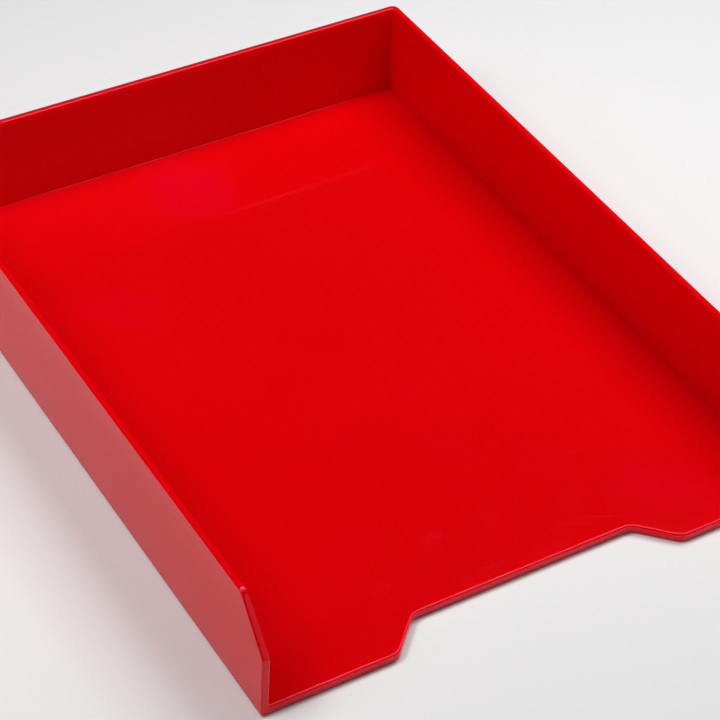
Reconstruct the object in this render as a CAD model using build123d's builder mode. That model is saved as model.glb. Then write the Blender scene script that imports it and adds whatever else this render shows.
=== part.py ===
"""Letter tray: a moulded shell, open at the front, on four stick-on rubber feet.

Millimetres, +Z up. The origin is the centre of the tray's footprint, on the surface that it stands on.
The open front faces -Y, and +X is on the right of a person who looks in at the front.
"""

from build123d import *
import os

# ---- Driving dimensions -------------------------------------------------------------------------

# The shell's outside
tray_width = 254.0
tray_depth = 330.0
shell_height = 50.2

# Its sheet
wall_thickness = 3.4
floor_thickness = 3.5

# Its corners and edges
rear_corner_radius = 4.0
inside_rear_corner_radius = 1.2
rim_radius = 0.8
lower_edge_radius = 0.4
inside_corner_radius = 0.3

# The side walls' front ends: upright at first, then leaning back to the rim
upright_height = 29.7
lean_back = 17.9
crest_radius = 5.0
knee_radius = 1.2

# The finger notch in the floor's front edge, with sides at 45 degrees
notch_front_width = 133.5
notch_depth = 15.3
notch_corner_radius = 6.5

# The gate mark under the floor: a shallow dish with the broken-off stub in its middle
gate_dish_radius = 4.0
gate_dish_depth = 0.5
gate_stub_radius = 1.2
gate_stub_height = 0.35

# The feet, each stuck in a shallow round recess
foot_radius = 5.0
foot_drop = 1.0
recess_depth = 1.0
recess_clearance = 0.3
adhesive_thickness = 0.2
adhesive_inset = 0.3
foot_edge_radius = 0.6
foot_side_inset = 9.5
foot_rear_inset = 9.5
foot_front_inset = 24.0

# ---- Worked out from them -----------------------------------------------------------------------

half_width = tray_width / 2
half_depth = tray_depth / 2
floor_bottom = foot_drop
floor_top = floor_bottom + floor_thickness
rim_height = floor_bottom + shell_height
knee_height = floor_bottom + upright_height
notch_rear_width = notch_front_width - 2 * notch_depth
recess_radius = foot_radius + recess_clearance
recess_roof = floor_bottom + recess_depth
foot_top = recess_roof - adhesive_thickness
foot_x = half_width - foot_side_inset
foot_positions = {
    "front_left": (-foot_x, -half_depth + foot_front_inset),
    "front_right": (foot_x, -half_depth + foot_front_inset),
    "rear_left": (-foot_x, half_depth - foot_rear_inset),
    "rear_right": (foot_x, half_depth - foot_rear_inset),
}

beyond = 5.0  # how far a cutting shape runs past the solid that it cuts

os.makedirs("parts", exist_ok=True)


def is_near(edge, y, z):
    """Whether an edge that runs across the tray lies on the line at that depth and height."""
    middle = edge.center()
    return abs(middle.Y - y) < 0.01 and abs(middle.Z - z) < 0.01


# ---- The shell ----------------------------------------------------------------------------------

with BuildPart() as tray_shell:
    # Floor: the footprint, less the finger notch
    with BuildSketch(Plane.XY.offset(floor_bottom)) as footprint:
        with BuildLine():
            Polyline(
                (-half_width, -half_depth),
                (-notch_front_width / 2, -half_depth),
                (-notch_rear_width / 2, -half_depth + notch_depth),
                (notch_rear_width / 2, -half_depth + notch_depth),
                (notch_front_width / 2, -half_depth),
                (half_width, -half_depth),
                (half_width, half_depth),
                (-half_width, half_depth),
                close=True,
            )
        make_face()
        rear_corners = footprint.vertices().group_by(Axis.Y)[-1]
        fillet(rear_corners, rear_corner_radius)
        notch_corners = footprint.vertices().filter_by(lambda v: abs(v.X) < notch_front_width / 2 + 1)
        fillet(notch_corners, notch_corner_radius)
    extrude(amount=floor_thickness)

    # Walls: a band round three sides, left open at the front
    with BuildSketch(Plane.XY.offset(floor_top)) as wall_band:
        Rectangle(tray_width, tray_depth)
        fillet(wall_band.vertices().group_by(Axis.Y)[-1], rear_corner_radius)
        with Locations((0, -wall_thickness)):
            Rectangle(tray_width - 2 * wall_thickness, tray_depth, mode=Mode.SUBTRACT)
        inner_corners = wall_band.vertices().filter_by(
            lambda v: abs(v.Y - (half_depth - wall_thickness)) < 0.01 and abs(v.X) < half_width - 1
        )
        fillet(inner_corners, inside_rear_corner_radius)
    extrude(amount=rim_height - floor_top)

    # The side walls' front ends, cut to their profile across the whole width
    with BuildSketch(Plane.YZ):
        with BuildLine():
            Polyline(
                (-half_depth - beyond, rim_height + beyond),
                (-half_depth - beyond, knee_height),
                (-half_depth, knee_height),
                (-half_depth + lean_back, rim_height),
                (-half_depth + lean_back, rim_height + beyond),
                close=True,
            )
        make_face()
    extrude(amount=half_width + beyond, both=True, mode=Mode.SUBTRACT)
    across = tray_shell.edges().filter_by(Axis.X)
    fillet(across.filter_by(lambda e: is_near(e, -half_depth + lean_back, rim_height)), crest_radius)
    across = tray_shell.edges().filter_by(Axis.X)
    fillet(across.filter_by(lambda e: is_near(e, -half_depth, knee_height)), knee_radius)

    # The small inside radius where the walls rise from the floor
    at_floor_top = tray_shell.edges().filter_by_position(Axis.Z, floor_top, floor_top)
    at_side_walls = at_floor_top.filter_by(Axis.Y).filter_by(lambda e: e.length > tray_depth / 2)
    fillet(at_side_walls, inside_corner_radius)

    # The rounded rim. Each of these edges runs on smoothly round the tray, and the fillet follows it:
    # outside, down to the foot of the front ends; inside, along the front of the floor and the notch.
    fillet(tray_shell.edges().filter_by(Axis.Y).group_by(Axis.Z)[-1], rim_radius)
    fillet(tray_shell.faces().sort_by(Axis.Z)[0].edges(), lower_edge_radius)

    # The recesses for the feet
    with BuildSketch(Plane.XY.offset(floor_bottom)):
        with Locations(*foot_positions.values()):
            Circle(recess_radius)
    extrude(amount=recess_depth, mode=Mode.SUBTRACT)

    # The gate mark
    with BuildSketch(Plane.XY.offset(floor_bottom)):
        Circle(gate_dish_radius)
    extrude(amount=gate_dish_depth, mode=Mode.SUBTRACT)
    with BuildSketch(Plane.XY.offset(floor_bottom + gate_dish_depth)):
        Circle(gate_stub_radius)
    extrude(amount=-gate_stub_height)

tray_shell.part.label = "tray_shell"
export_step(tray_shell.part, "parts/tray_shell.step")

# ---- The feet, and the adhesive discs that hold them ----------------------------------------------

for place, position in foot_positions.items():
    with BuildPart() as foot:
        with BuildSketch(Plane.XY):
            with Locations(position):
                Circle(foot_radius)
        extrude(amount=foot_top)
        fillet(foot.edges().group_by(Axis.Z)[0], foot_edge_radius)
    foot.part.label = f"foot_{place}"
    export_step(foot.part, f"parts/foot_{place}.step")

    with BuildPart() as adhesive:
        with BuildSketch(Plane.XY.offset(foot_top)):
            with Locations(position):
                Circle(foot_radius - adhesive_inset)
        extrude(amount=adhesive_thickness)
    adhesive.part.label = f"adhesive_{place}"
    export_step(adhesive.part, f"parts/adhesive_{place}.step")
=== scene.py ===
"""The letter tray's looks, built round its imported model.

Metres, +Z up, in the model's own frame: the open front faces -Y, and the table is at Z = 0.
"""

import math

import bmesh
import bpy
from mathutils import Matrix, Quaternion, Vector


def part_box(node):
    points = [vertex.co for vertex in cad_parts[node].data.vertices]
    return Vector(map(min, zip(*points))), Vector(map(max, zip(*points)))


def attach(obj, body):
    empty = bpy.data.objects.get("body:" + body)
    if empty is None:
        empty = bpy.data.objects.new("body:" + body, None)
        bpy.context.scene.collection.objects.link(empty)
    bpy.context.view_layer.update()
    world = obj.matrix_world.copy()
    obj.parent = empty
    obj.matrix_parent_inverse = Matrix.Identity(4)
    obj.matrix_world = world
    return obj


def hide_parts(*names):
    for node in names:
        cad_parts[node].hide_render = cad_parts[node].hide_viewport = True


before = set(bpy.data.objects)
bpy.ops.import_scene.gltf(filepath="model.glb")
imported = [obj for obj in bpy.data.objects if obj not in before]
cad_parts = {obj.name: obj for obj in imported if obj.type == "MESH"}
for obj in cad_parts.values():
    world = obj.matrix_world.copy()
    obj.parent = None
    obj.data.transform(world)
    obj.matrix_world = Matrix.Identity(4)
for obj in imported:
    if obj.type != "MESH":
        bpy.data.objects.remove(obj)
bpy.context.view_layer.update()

# ---- Camera and stage ---------------------------------------------------------------------------

# The camera
AIM = Vector((0.00844, -0.00663, 0.0010))
AZIMUTH = math.radians(-32.112)
ELEVATION = math.radians(40.772)
ROLL = math.radians(2.730)
DISTANCE = 1.0843
LENS_MM = 124.35
SENSOR_MM = 36
NEAREST = 0.05
FARTHEST = 100

# The table: its width and its white, and where it turns from a lit surface to an even pale one
TABLE_SIZE = 30.0
TABLE_WHITE = (0.9, 0.9, 0.9, 1)
LIT_RADIUS = 0.3
PALE_RADIUS = 0.85

# The backdrop that the camera sees, and the dim studio that lights and is mirrored in the tray
PALE = (0.88, 0.88, 0.88, 1)
DIM = (0.01, 0.01, 0.01, 1)

# The lamps: name, place, size and watts. A size is first across, and then along the line from the tray
# out to the lamp. All hang forward of the back wall, so that the floor is lit up to that wall's foot.
LOW_SIZE = (0.30, 0.28)
BROAD_SIZE = (0.34, 0.48)
HIGH_SIZE = (0.39, 0.36)
FRONT_SIZE = (0.50, 0.30)
FRONT_RIGHT_SIZE = (0.50, 0.50)
SOFTBOXES = [
    ("low_right", (0.35, 0.12, 0.75), BROAD_SIZE, 3.03),
    ("low_right_front", (0.35, -0.15, 0.75), BROAD_SIZE, 0.90),
    ("low_far_right", (0.70, -0.15, 0.75), LOW_SIZE, 0.81),
    ("low_left", (-0.35, 0.12, 0.75), LOW_SIZE, 1.70),
    ("low_far_left", (-1.0, 0.12, 0.75), LOW_SIZE, 0.90),
    ("high_left", (-0.91, 0.16, 1.2), HIGH_SIZE, 3.48),
    ("high_left_front", (-0.91, -0.20, 1.2), HIGH_SIZE, 1.70),
    ("front", (0.0, -1.2, 0.3), FRONT_SIZE, 0.38),
    ("front_right", (0.36, -1.03, 0.70), FRONT_RIGHT_SIZE, 0.70),
]


def towards(azimuth, elevation):
    """The unit vector from the tray at that azimuth and elevation. Azimuth 0 is in front, at -Y."""
    level = math.cos(elevation)
    return Vector((math.sin(azimuth) * level, -math.cos(azimuth) * level, math.sin(elevation)))


def add_camera():
    camera = bpy.data.objects.new("camera", bpy.data.cameras.new("camera"))
    bpy.context.scene.collection.objects.link(camera)
    back = towards(AZIMUTH, ELEVATION)
    camera.location = AIM + back * DISTANCE
    camera.rotation_mode = "QUATERNION"
    camera.rotation_quaternion = (-back).to_track_quat("-Z", "Y") @ Quaternion((0, 0, 1), ROLL)
    camera.data.lens = LENS_MM
    camera.data.sensor_width = SENSOR_MM
    camera.data.clip_start = NEAREST
    camera.data.clip_end = FARTHEST
    bpy.context.scene.camera = camera


def add_softbox(name, place, size, power):
    """A soft lamp. It faces a point on the table halfway in from the spot below it."""
    light = bpy.data.lights.new(name, "AREA")
    light.shape = "RECTANGLE"
    light.size, light.size_y = size
    light.energy = power
    lamp = bpy.data.objects.new(name, light)
    bpy.context.scene.collection.objects.link(lamp)
    place = Vector(place)
    aim = Vector((place.x / 2, place.y / 2, 0))
    lamp.location = place
    lamp.rotation_mode = "QUATERNION"
    lamp.rotation_quaternion = (aim - place).to_track_quat("-Z", "Y")


def add_stage():
    """A pale table. The lamps light it near the tray. To the camera it is pale to the horizon."""
    bpy.ops.mesh.primitive_plane_add(size=TABLE_SIZE)
    floor = bpy.context.object
    floor.name = "stage_floor"
    material = bpy.data.materials.new("stage_floor")
    material.use_nodes = True
    tree = material.node_tree
    shader = tree.nodes["Principled BSDF"]
    shader.inputs["Base Color"].default_value = TABLE_WHITE
    shader.inputs["Roughness"].default_value = 1.0
    shader.inputs["Specular IOR Level"].default_value = 0.0
    glow = tree.nodes.new("ShaderNodeEmission")
    glow.inputs["Color"].default_value = PALE
    place = tree.nodes.new("ShaderNodeTexCoord")
    distance = tree.nodes.new("ShaderNodeVectorMath")
    distance.operation = "LENGTH"
    share = tree.nodes.new("ShaderNodeMapRange")
    share.interpolation_type = "SMOOTHSTEP"
    share.inputs["From Min"].default_value = LIT_RADIUS
    share.inputs["From Max"].default_value = PALE_RADIUS
    ray = tree.nodes.new("ShaderNodeLightPath")
    seen_share = tree.nodes.new("ShaderNodeMath")
    seen_share.operation = "MULTIPLY"
    mix = tree.nodes.new("ShaderNodeMixShader")
    tree.links.new(place.outputs["Object"], distance.inputs[0])
    tree.links.new(distance.outputs["Value"], share.inputs["Value"])
    tree.links.new(share.outputs["Result"], seen_share.inputs[0])
    tree.links.new(ray.outputs["Is Camera Ray"], seen_share.inputs[1])
    tree.links.new(seen_share.outputs["Value"], mix.inputs["Fac"])
    tree.links.new(shader.outputs["BSDF"], mix.inputs[1])
    tree.links.new(glow.outputs["Emission"], mix.inputs[2])
    tree.links.new(mix.outputs["Shader"], tree.nodes["Material Output"].inputs["Surface"])
    floor.data.materials.append(material)


def add_world():
    """A pale backdrop for the camera. The tray has a dim studio round it, above the table."""
    world = bpy.data.worlds.new("studio")
    bpy.context.scene.world = world
    world.use_nodes = True
    tree = world.node_tree
    studio = tree.nodes["Background"]
    studio.inputs["Color"].default_value = DIM
    backdrop = tree.nodes.new("ShaderNodeBackground")
    backdrop.inputs["Color"].default_value = PALE
    ray = tree.nodes.new("ShaderNodeLightPath")
    mix = tree.nodes.new("ShaderNodeMixShader")
    tree.links.new(ray.outputs["Is Camera Ray"], mix.inputs["Fac"])
    tree.links.new(studio.outputs["Background"], mix.inputs[1])
    tree.links.new(backdrop.outputs["Background"], mix.inputs[2])
    tree.links.new(mix.outputs["Shader"], tree.nodes["World Output"].inputs["Surface"])


add_camera()
add_stage()
add_world()
for softbox in SOFTBOXES:
    add_softbox(*softbox)

# ---- Materials ----------------------------------------------------------------------------------


def new_material(name):
    """A new material, its nodes, its shader, and the socket for a place on the object, in metres."""
    material = bpy.data.materials.new(name)
    material.use_nodes = True
    tree = material.node_tree
    place = tree.nodes.new("ShaderNodeTexCoord").outputs["Object"]
    return material, tree, tree.nodes["Principled BSDF"], place


def noise(tree, place, size, detail=2.0, turn=0.0):
    """Cloudy noise, 0 to 1. Its patches have about that size: one number, or one for each axis."""
    sizes = size if isinstance(size, tuple) else (size, size, size)
    scaling = tree.nodes.new("ShaderNodeMapping")
    scaling.vector_type = "TEXTURE"
    scaling.inputs["Rotation"].default_value = (0, 0, math.radians(turn))
    scaling.inputs["Scale"].default_value = sizes
    texture = tree.nodes.new("ShaderNodeTexNoise")
    texture.inputs["Scale"].default_value = 1.0
    texture.inputs["Detail"].default_value = detail
    tree.links.new(place, scaling.inputs["Vector"])
    tree.links.new(scaling.outputs["Vector"], texture.inputs["Vector"])
    return texture.outputs["Fac"]


def remap(tree, value, start, end, low=0.0, high=1.0):
    """Carries a value smoothly from one range to another, and holds it beyond the range's ends."""
    node = tree.nodes.new("ShaderNodeMapRange")
    node.interpolation_type = "SMOOTHSTEP"
    node.inputs["From Min"].default_value = start
    node.inputs["From Max"].default_value = end
    node.inputs["To Min"].default_value = low
    node.inputs["To Max"].default_value = high
    tree.links.new(value, node.inputs["Value"])
    return node.outputs["Result"]


def combine(tree, operation, first, second):
    """One sum, product or the like of two values. Each is a socket or a number."""
    node = tree.nodes.new("ShaderNodeMath")
    node.operation = operation
    for socket, value in zip(node.inputs, (first, second)):
        if isinstance(value, (int, float)):
            socket.default_value = value
        else:
            tree.links.new(value, socket)
    return node.outputs["Value"]


def mix_colours(tree, share, first, second):
    """The first colour, turning into the second as the share goes from 0 to 1."""
    node = tree.nodes.new("ShaderNodeMix")
    node.data_type = "RGBA"
    tree.links.new(share, node.inputs["Factor"])
    for socket, colour in ((node.inputs["A"], first), (node.inputs["B"], second)):
        if isinstance(colour, tuple):
            socket.default_value = colour + (1,)
        else:
            tree.links.new(colour, socket)
    return node.outputs["Result"]


def bump(tree, height, distance, normal=None):
    """A bump that is that distance high, in metres, where the height is 1. It lies over an earlier one."""
    node = tree.nodes.new("ShaderNodeBump")
    node.inputs["Strength"].default_value = 1.0
    node.inputs["Distance"].default_value = distance
    tree.links.new(height, node.inputs["Height"])
    if normal is not None:
        tree.links.new(normal, node.inputs["Normal"])
    return node.outputs["Normal"]


def specks(tree, place, spacing, radius, share):
    """Small round spots, 1 on a spot and 0 elsewhere, in that share of cells with that spacing."""
    scaling = tree.nodes.new("ShaderNodeMapping")
    scaling.inputs["Scale"].default_value = (1 / spacing, 1 / spacing, 1 / spacing)
    cells = tree.nodes.new("ShaderNodeTexVoronoi")
    cells.inputs["Scale"].default_value = 1.0
    tree.links.new(place, scaling.inputs["Vector"])
    tree.links.new(scaling.outputs["Vector"], cells.inputs["Vector"])
    spot = remap(tree, cells.outputs["Distance"], radius / spacing, 0.6 * radius / spacing)
    pick = tree.nodes.new("ShaderNodeSeparateColor")
    tree.links.new(cells.outputs["Color"], pick.inputs["Color"])
    chosen = combine(tree, "LESS_THAN", pick.outputs["Red"], share)
    return combine(tree, "MULTIPLY", spot, chosen)


def painted_reflection_patch(tree, place, centre, half_size, turn, strength):
    """A soft oval patch of painted reflection on the floor, 0 outside it, with faint strokes along its
    length.
    """
    fitting = tree.nodes.new("ShaderNodeMapping")
    fitting.vector_type = "TEXTURE"
    fitting.inputs["Location"].default_value = centre + (0,)
    fitting.inputs["Rotation"].default_value = (0, 0, math.radians(turn))
    fitting.inputs["Scale"].default_value = half_size + (1,)
    distance = tree.nodes.new("ShaderNodeVectorMath")
    distance.operation = "LENGTH"
    tree.links.new(place, fitting.inputs["Vector"])
    tree.links.new(fitting.outputs["Vector"], distance.inputs[0])
    patch = remap(tree, distance.outputs["Value"], 1.0, 0.3)
    strokes = noise(tree, place, (0.016, 0.004, 0.016), detail=4.0, turn=turn)
    strokes = remap(tree, strokes, 0.30, 0.60, 0.3 * strength, strength)
    return combine(tree, "MULTIPLY", patch, strokes)


def hairlines(tree, place, length, width, turn, rarity):
    """Fine straight scratches, 1 on a line and 0 elsewhere, turned by those degrees from the Y axis."""
    streaks = noise(tree, place, (width, length, length), detail=1.0, turn=turn)
    return remap(tree, streaks, rarity, rarity + 0.04)


def patches(tree, place, size, levels, strength=1.0, detail=2.0, turn=0.0):
    """Cloudy patches: 0 where the noise is under the lower level, and the strength over the upper one."""
    return remap(tree, noise(tree, place, size, detail, turn), *levels, 0.0, strength)


# The shell's colours: its pigment, unevenly mixed, then rubbed edges, pinkish patches of painted reflection
# on the floor, and dust
RED = (0.79, 0.0005, 0.0035)
DEEP_RED = (0.765, 0.0005, 0.0025)
SCUFF_RED = (0.80, 0.035, 0.04)
# The pinkish colour of the painted reflection patches on the floor
PAINTED_REFLECTION_RED = (0.775, 0.0005, 0.014)
DUST = (0.75, 0.70, 0.66)
CLOUD_SIZE = 0.08
GRAIN_SIZE = 0.0011

# Its gloss: the roughness of an unmarked place, the tint of what it mirrors, and the smears and finger marks
CLEAN_ROUGHNESS = 0.055
SHINE_TINT = (1, 0.3, 0.5, 1)
SMEAR_SIZE = (0.030, 0.055, 0.040)
FINGER_SIZE = 0.016

# How far light wanders inside it, in metres, for red, green and blue. It makes the thin edges glow.
GLOW_DEPTHS = (0.003, 0.0006, 0.0006)

# Its relief: the size and the height of each kind, in metres
WAVE_SIZE, WAVE_HEIGHT = 0.055, 0.00006
PEEL_SIZE, PEEL_HEIGHT = 0.0028, 0.000004
MARK_HEIGHT = 0.000006
DUST_RISE = 4.0

# Where the edges are rubbed: from this far from the shell's top or front, where it begins, to full
RUBBED_RIM = (0.0012, 0.0002)
RUBBED_FRONT = (0.0014, 0.0002)
RUB_SIZE = (0.0009, 0.006, 0.003)

# Fine scratches: length, width, degrees from the Y axis, and rarity. Paper sliding in makes the first kind.
SCRATCHES = [
    (0.045, 0.00035, 4, 0.715),
    (0.022, 0.00030, 63, 0.735),
    (0.030, 0.00030, -38, 0.735),
]

# Specks of dust: their spacing and radius, and the share of places that hold one
DUST_SPACING, DUST_RADIUS, DUST_SHARE = 0.030, 0.00028, 0.16

# Painted reflection: soft pinkish patches and streaks painted into the floor's colour: centre, half length
# and half width, degrees from the X axis, and strength
PAINTED_REFLECTION_SPOTS = [
    ((-0.003, 0.133), (0.030, 0.026), -50, 1.0),
    ((-0.072, 0.072), (0.034, 0.015), -40, 0.3),
    ((0.077, -0.135), (0.032, 0.022), -45, 0.3),
]


def make_shell_plastic(low, high):
    """Glossy moulded ABS. The marks on its edges depend on the shell's own box."""
    material, tree, shader, place = new_material("red_gloss_plastic")
    spot = tree.nodes.new("ShaderNodeSeparateXYZ")
    tree.links.new(place, spot.inputs["Vector"])
    facing = tree.nodes.new("ShaderNodeSeparateXYZ")
    surface = tree.nodes.new("ShaderNodeNewGeometry")
    tree.links.new(surface.outputs["Normal"], facing.inputs["Vector"])
    upward = remap(tree, facing.outputs["Z"], 0.6, 0.95)

    # Where hands and sheets of paper rub it: the rim, and the front edge of the floor
    rim = remap(tree, spot.outputs["Z"], *(high.z - distance for distance in RUBBED_RIM))
    front = remap(tree, spot.outputs["Y"], *(low.y + distance for distance in RUBBED_FRONT))
    edge = combine(tree, "MAXIMUM", rim, front)
    rubbed = patches(tree, place, RUB_SIZE, (0.60, 0.78), detail=5.0)
    scuff = combine(tree, "MULTIPLY", edge, rubbed)

    # The scratches, and the dust on what faces up
    scratch = 0.0
    for length, width, turn, rarity in SCRATCHES:
        scratch = combine(tree, "MAXIMUM", scratch, hairlines(tree, place, length, width, turn, rarity))
    dust = specks(tree, place, DUST_SPACING, DUST_RADIUS, DUST_SHARE)
    dust = combine(tree, "MULTIPLY", dust, upward)

    # Colour
    cloud = patches(tree, place, CLOUD_SIZE, (0.35, 0.65))
    grain = patches(tree, place, GRAIN_SIZE, (0.3, 0.7), strength=0.5, detail=3.0)
    pigment = combine(tree, "MULTIPLY", combine(tree, "ADD", cloud, grain), 0.66)
    colour = mix_colours(tree, pigment, DEEP_RED, RED)
    # Painted reflection: soft pinkish patches and streaks painted into the colour of the upward faces
    for reflection_spot in PAINTED_REFLECTION_SPOTS:
        painted_reflection = combine(tree, "MULTIPLY", painted_reflection_patch(tree, place, *reflection_spot), upward)
        colour = mix_colours(tree, painted_reflection, colour, PAINTED_REFLECTION_RED)
    for mark, share, mark_colour in ((scuff, 0.55, SCUFF_RED), (dust, 0.8, DUST)):
        colour = mix_colours(tree, combine(tree, "MULTIPLY", mark, share), colour, mark_colour)
    tree.links.new(colour, shader.inputs["Base Color"])

    # Gloss
    smear = patches(tree, place, SMEAR_SIZE, (0.50, 0.78), strength=0.07, detail=4.0, turn=-22)
    finger = patches(tree, place, FINGER_SIZE, (0.60, 0.80), strength=0.05, detail=3.0)
    roughness = combine(tree, "ADD", combine(tree, "ADD", smear, finger), CLEAN_ROUGHNESS)
    for mark, amount in ((scratch, 0.10), (scuff, 0.25), (dust, 0.6)):
        roughness = combine(tree, "ADD", roughness, combine(tree, "MULTIPLY", mark, amount))
    tree.links.new(roughness, shader.inputs["Roughness"])

    # Relief: the slow waves of a cooled sheet, the skin's orange peel, and the marks
    normal = bump(tree, noise(tree, place, WAVE_SIZE, detail=1.0), WAVE_HEIGHT)
    normal = bump(tree, noise(tree, place, PEEL_SIZE, detail=1.0), PEEL_HEIGHT, normal)
    raised = combine(tree, "MULTIPLY", dust, DUST_RISE)
    marks = combine(tree, "SUBTRACT", raised, combine(tree, "ADD", scratch, scuff))
    normal = bump(tree, marks, MARK_HEIGHT, normal)
    tree.links.new(normal, shader.inputs["Normal"])

    shader.inputs["Specular Tint"].default_value = SHINE_TINT
    shader.inputs["Subsurface Weight"].default_value = 1.0
    shader.inputs["Subsurface Radius"].default_value = GLOW_DEPTHS
    shader.inputs["Subsurface Scale"].default_value = 1.0
    return material


# The feet's rubber, darker and lighter, and the dust on it
RUBBER_DARK = (0.016, 0.016, 0.018)
RUBBER_LIGHT = (0.032, 0.031, 0.033)
RUBBER_DUST = (0.16, 0.15, 0.14)
RUBBER_CLOUD_SIZE = 0.004
RUBBER_DUST_SIZE = 0.0007
RUBBER_GRAIN_SIZE, RUBBER_GRAIN_HEIGHT = 0.00035, 0.00006


def make_rubber():
    """Dark rubber, finely grained, with dust on it."""
    material, tree, shader, place = new_material("foot_rubber")
    cloud = patches(tree, place, RUBBER_CLOUD_SIZE, (0.35, 0.70), detail=4.0)
    colour = mix_colours(tree, cloud, RUBBER_DARK, RUBBER_LIGHT)
    dust = patches(tree, place, RUBBER_DUST_SIZE, (0.62, 0.75), strength=0.35, detail=5.0)
    tree.links.new(mix_colours(tree, dust, colour, RUBBER_DUST), shader.inputs["Base Color"])
    tree.links.new(remap(tree, cloud, 0, 1, 0.50, 0.72), shader.inputs["Roughness"])
    normal = bump(tree, noise(tree, place, RUBBER_GRAIN_SIZE, detail=4.0), RUBBER_GRAIN_HEIGHT)
    tree.links.new(normal, shader.inputs["Normal"])
    return material


# The adhesive, darker and lighter, and its ripples
ADHESIVE_DARK = (0.55, 0.52, 0.43)
ADHESIVE_LIGHT = (0.66, 0.64, 0.56)
ADHESIVE_CLOUD_SIZE = 0.0025
RIPPLE_SIZE, RIPPLE_HEIGHT = 0.0012, 0.00003


def make_adhesive():
    """A film of pale adhesive, mottled where it is pressed on."""
    material, tree, shader, place = new_material("adhesive_film")
    cloud = patches(tree, place, ADHESIVE_CLOUD_SIZE, (0.35, 0.65), detail=4.0)
    colour = mix_colours(tree, cloud, ADHESIVE_DARK, ADHESIVE_LIGHT)
    tree.links.new(colour, shader.inputs["Base Color"])
    tree.links.new(remap(tree, cloud, 0, 1, 0.35, 0.55), shader.inputs["Roughness"])
    normal = bump(tree, noise(tree, place, RIPPLE_SIZE, detail=3.0), RIPPLE_HEIGHT)
    tree.links.new(normal, shader.inputs["Normal"])
    return material


# ---- The shell as moulded -----------------------------------------------------------------------

FLOOR_THICKNESS = 0.0035
WALL_THICKNESS = 0.0034

# How far the side walls and the back wall lean in at the rim
SIDE_LEAN = 0.00065
BACK_LEAN = 0.00056

# How far the inner faces open out again at the rim, how far below it this starts, and the level cuts
# through the mesh that let the faces curve there
FLARE = 0.0005
FLARE_HEIGHT = 0.005
FLARE_CUTS = 6
CUT_SPACING = 0.0008

# The flare fades out over this distance in front of an inner face, so that inside corners stay smooth
CORNER_WIDTH = 0.0012

WELD_DISTANCE = 1e-6


def cut_and_weld(mesh, top):
    """Cuts the mesh where the walls' inner faces curve, and welds it into one closed surface."""
    work = bmesh.new()
    work.from_mesh(mesh)
    for cut in range(FLARE_CUTS):
        level = top - FLARE_HEIGHT + cut * CUT_SPACING
        everything = work.verts[:] + work.edges[:] + work.faces[:]
        bmesh.ops.bisect_plane(work, geom=everything, plane_co=(0, 0, level), plane_no=(0, 0, 1))
    bmesh.ops.remove_doubles(work, verts=work.verts, dist=WELD_DISTANCE)
    work.to_mesh(mesh)
    work.free()


def inner_share(depth):
    """How much of the flare a point gets, by its depth behind a wall's outer face."""
    if depth <= WALL_THICKNESS:
        return max(0.0, depth / WALL_THICKNESS)
    return max(0.0, 1 - (depth - WALL_THICKNESS) / CORNER_WIDTH)


def make_moulded_shell(node):
    """A welded copy of the CAD shell, with walls as the cooled moulding has them.

    They lean in a little towards the rim, and their inner faces open out softly just below it. The CAD's
    normals are carried through the weld, and turned as the surface turns.
    """
    low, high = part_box(node.name)
    mesh = node.data.copy()
    carried = mesh.attributes.new("cad_normal", "FLOAT_VECTOR", "CORNER")
    for corner, item in zip(mesh.corner_normals, carried.data):
        item.vector = corner.vector
    cut_and_weld(mesh, high.z)
    carried = mesh.attributes["cad_normal"]
    normals = [Vector(item.vector) for item in carried.data]
    mesh.attributes.remove(carried)

    foot = low.z + FLOOR_THICKNESS
    side_pull = SIDE_LEAN / (high.z - foot) / high.x
    back_pull = BACK_LEAN / (high.z - foot) / (high.y - low.y)
    slopes = []
    for vertex in mesh.vertices:
        point = vertex.co.copy()
        rise = max(0.0, point.z - foot)
        flare = max(0.0, 1 - (high.z - point.z) / FLARE_HEIGHT)
        side_share = math.copysign(inner_share(high.x - abs(point.x)), point.x)
        back_share = inner_share(high.y - point.y)
        vertex.co.x += FLARE * flare ** 2 * side_share - side_pull * rise * point.x
        vertex.co.y += FLARE * flare ** 2 * back_share - back_pull * rise * (point.y - low.y)
        steepness = 2 * FLARE * flare / FLARE_HEIGHT
        walled = 1 if rise > 0 else 0
        slopes.append(Vector((
            steepness * side_share - walled * side_pull * point.x,
            steepness * back_share - walled * back_pull * (point.y - low.y),
        )))
    for loop in mesh.loops:
        slope = slopes[loop.vertex_index]
        normal = normals[loop.index]
        normal.z -= normal.x * slope.x + normal.y * slope.y
        normal.normalize()
    mesh.normals_split_custom_set(normals)

    shell = bpy.data.objects.new("moulded_shell", mesh)
    bpy.context.scene.collection.objects.link(shell)
    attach(shell, "root")
    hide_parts(node.name)
    return shell


shell = make_moulded_shell(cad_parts["tray_shell"])
shell.data.materials[0] = make_shell_plastic(*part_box("tray_shell"))

finishes = {
    "foot": make_rubber(),
    "adhesive": make_adhesive(),
}
for name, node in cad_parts.items():
    for start, finish in finishes.items():
        if name.startswith(start):
            node.data.materials[0] = finish

bpy.context.scene.view_settings.view_transform = "Standard"
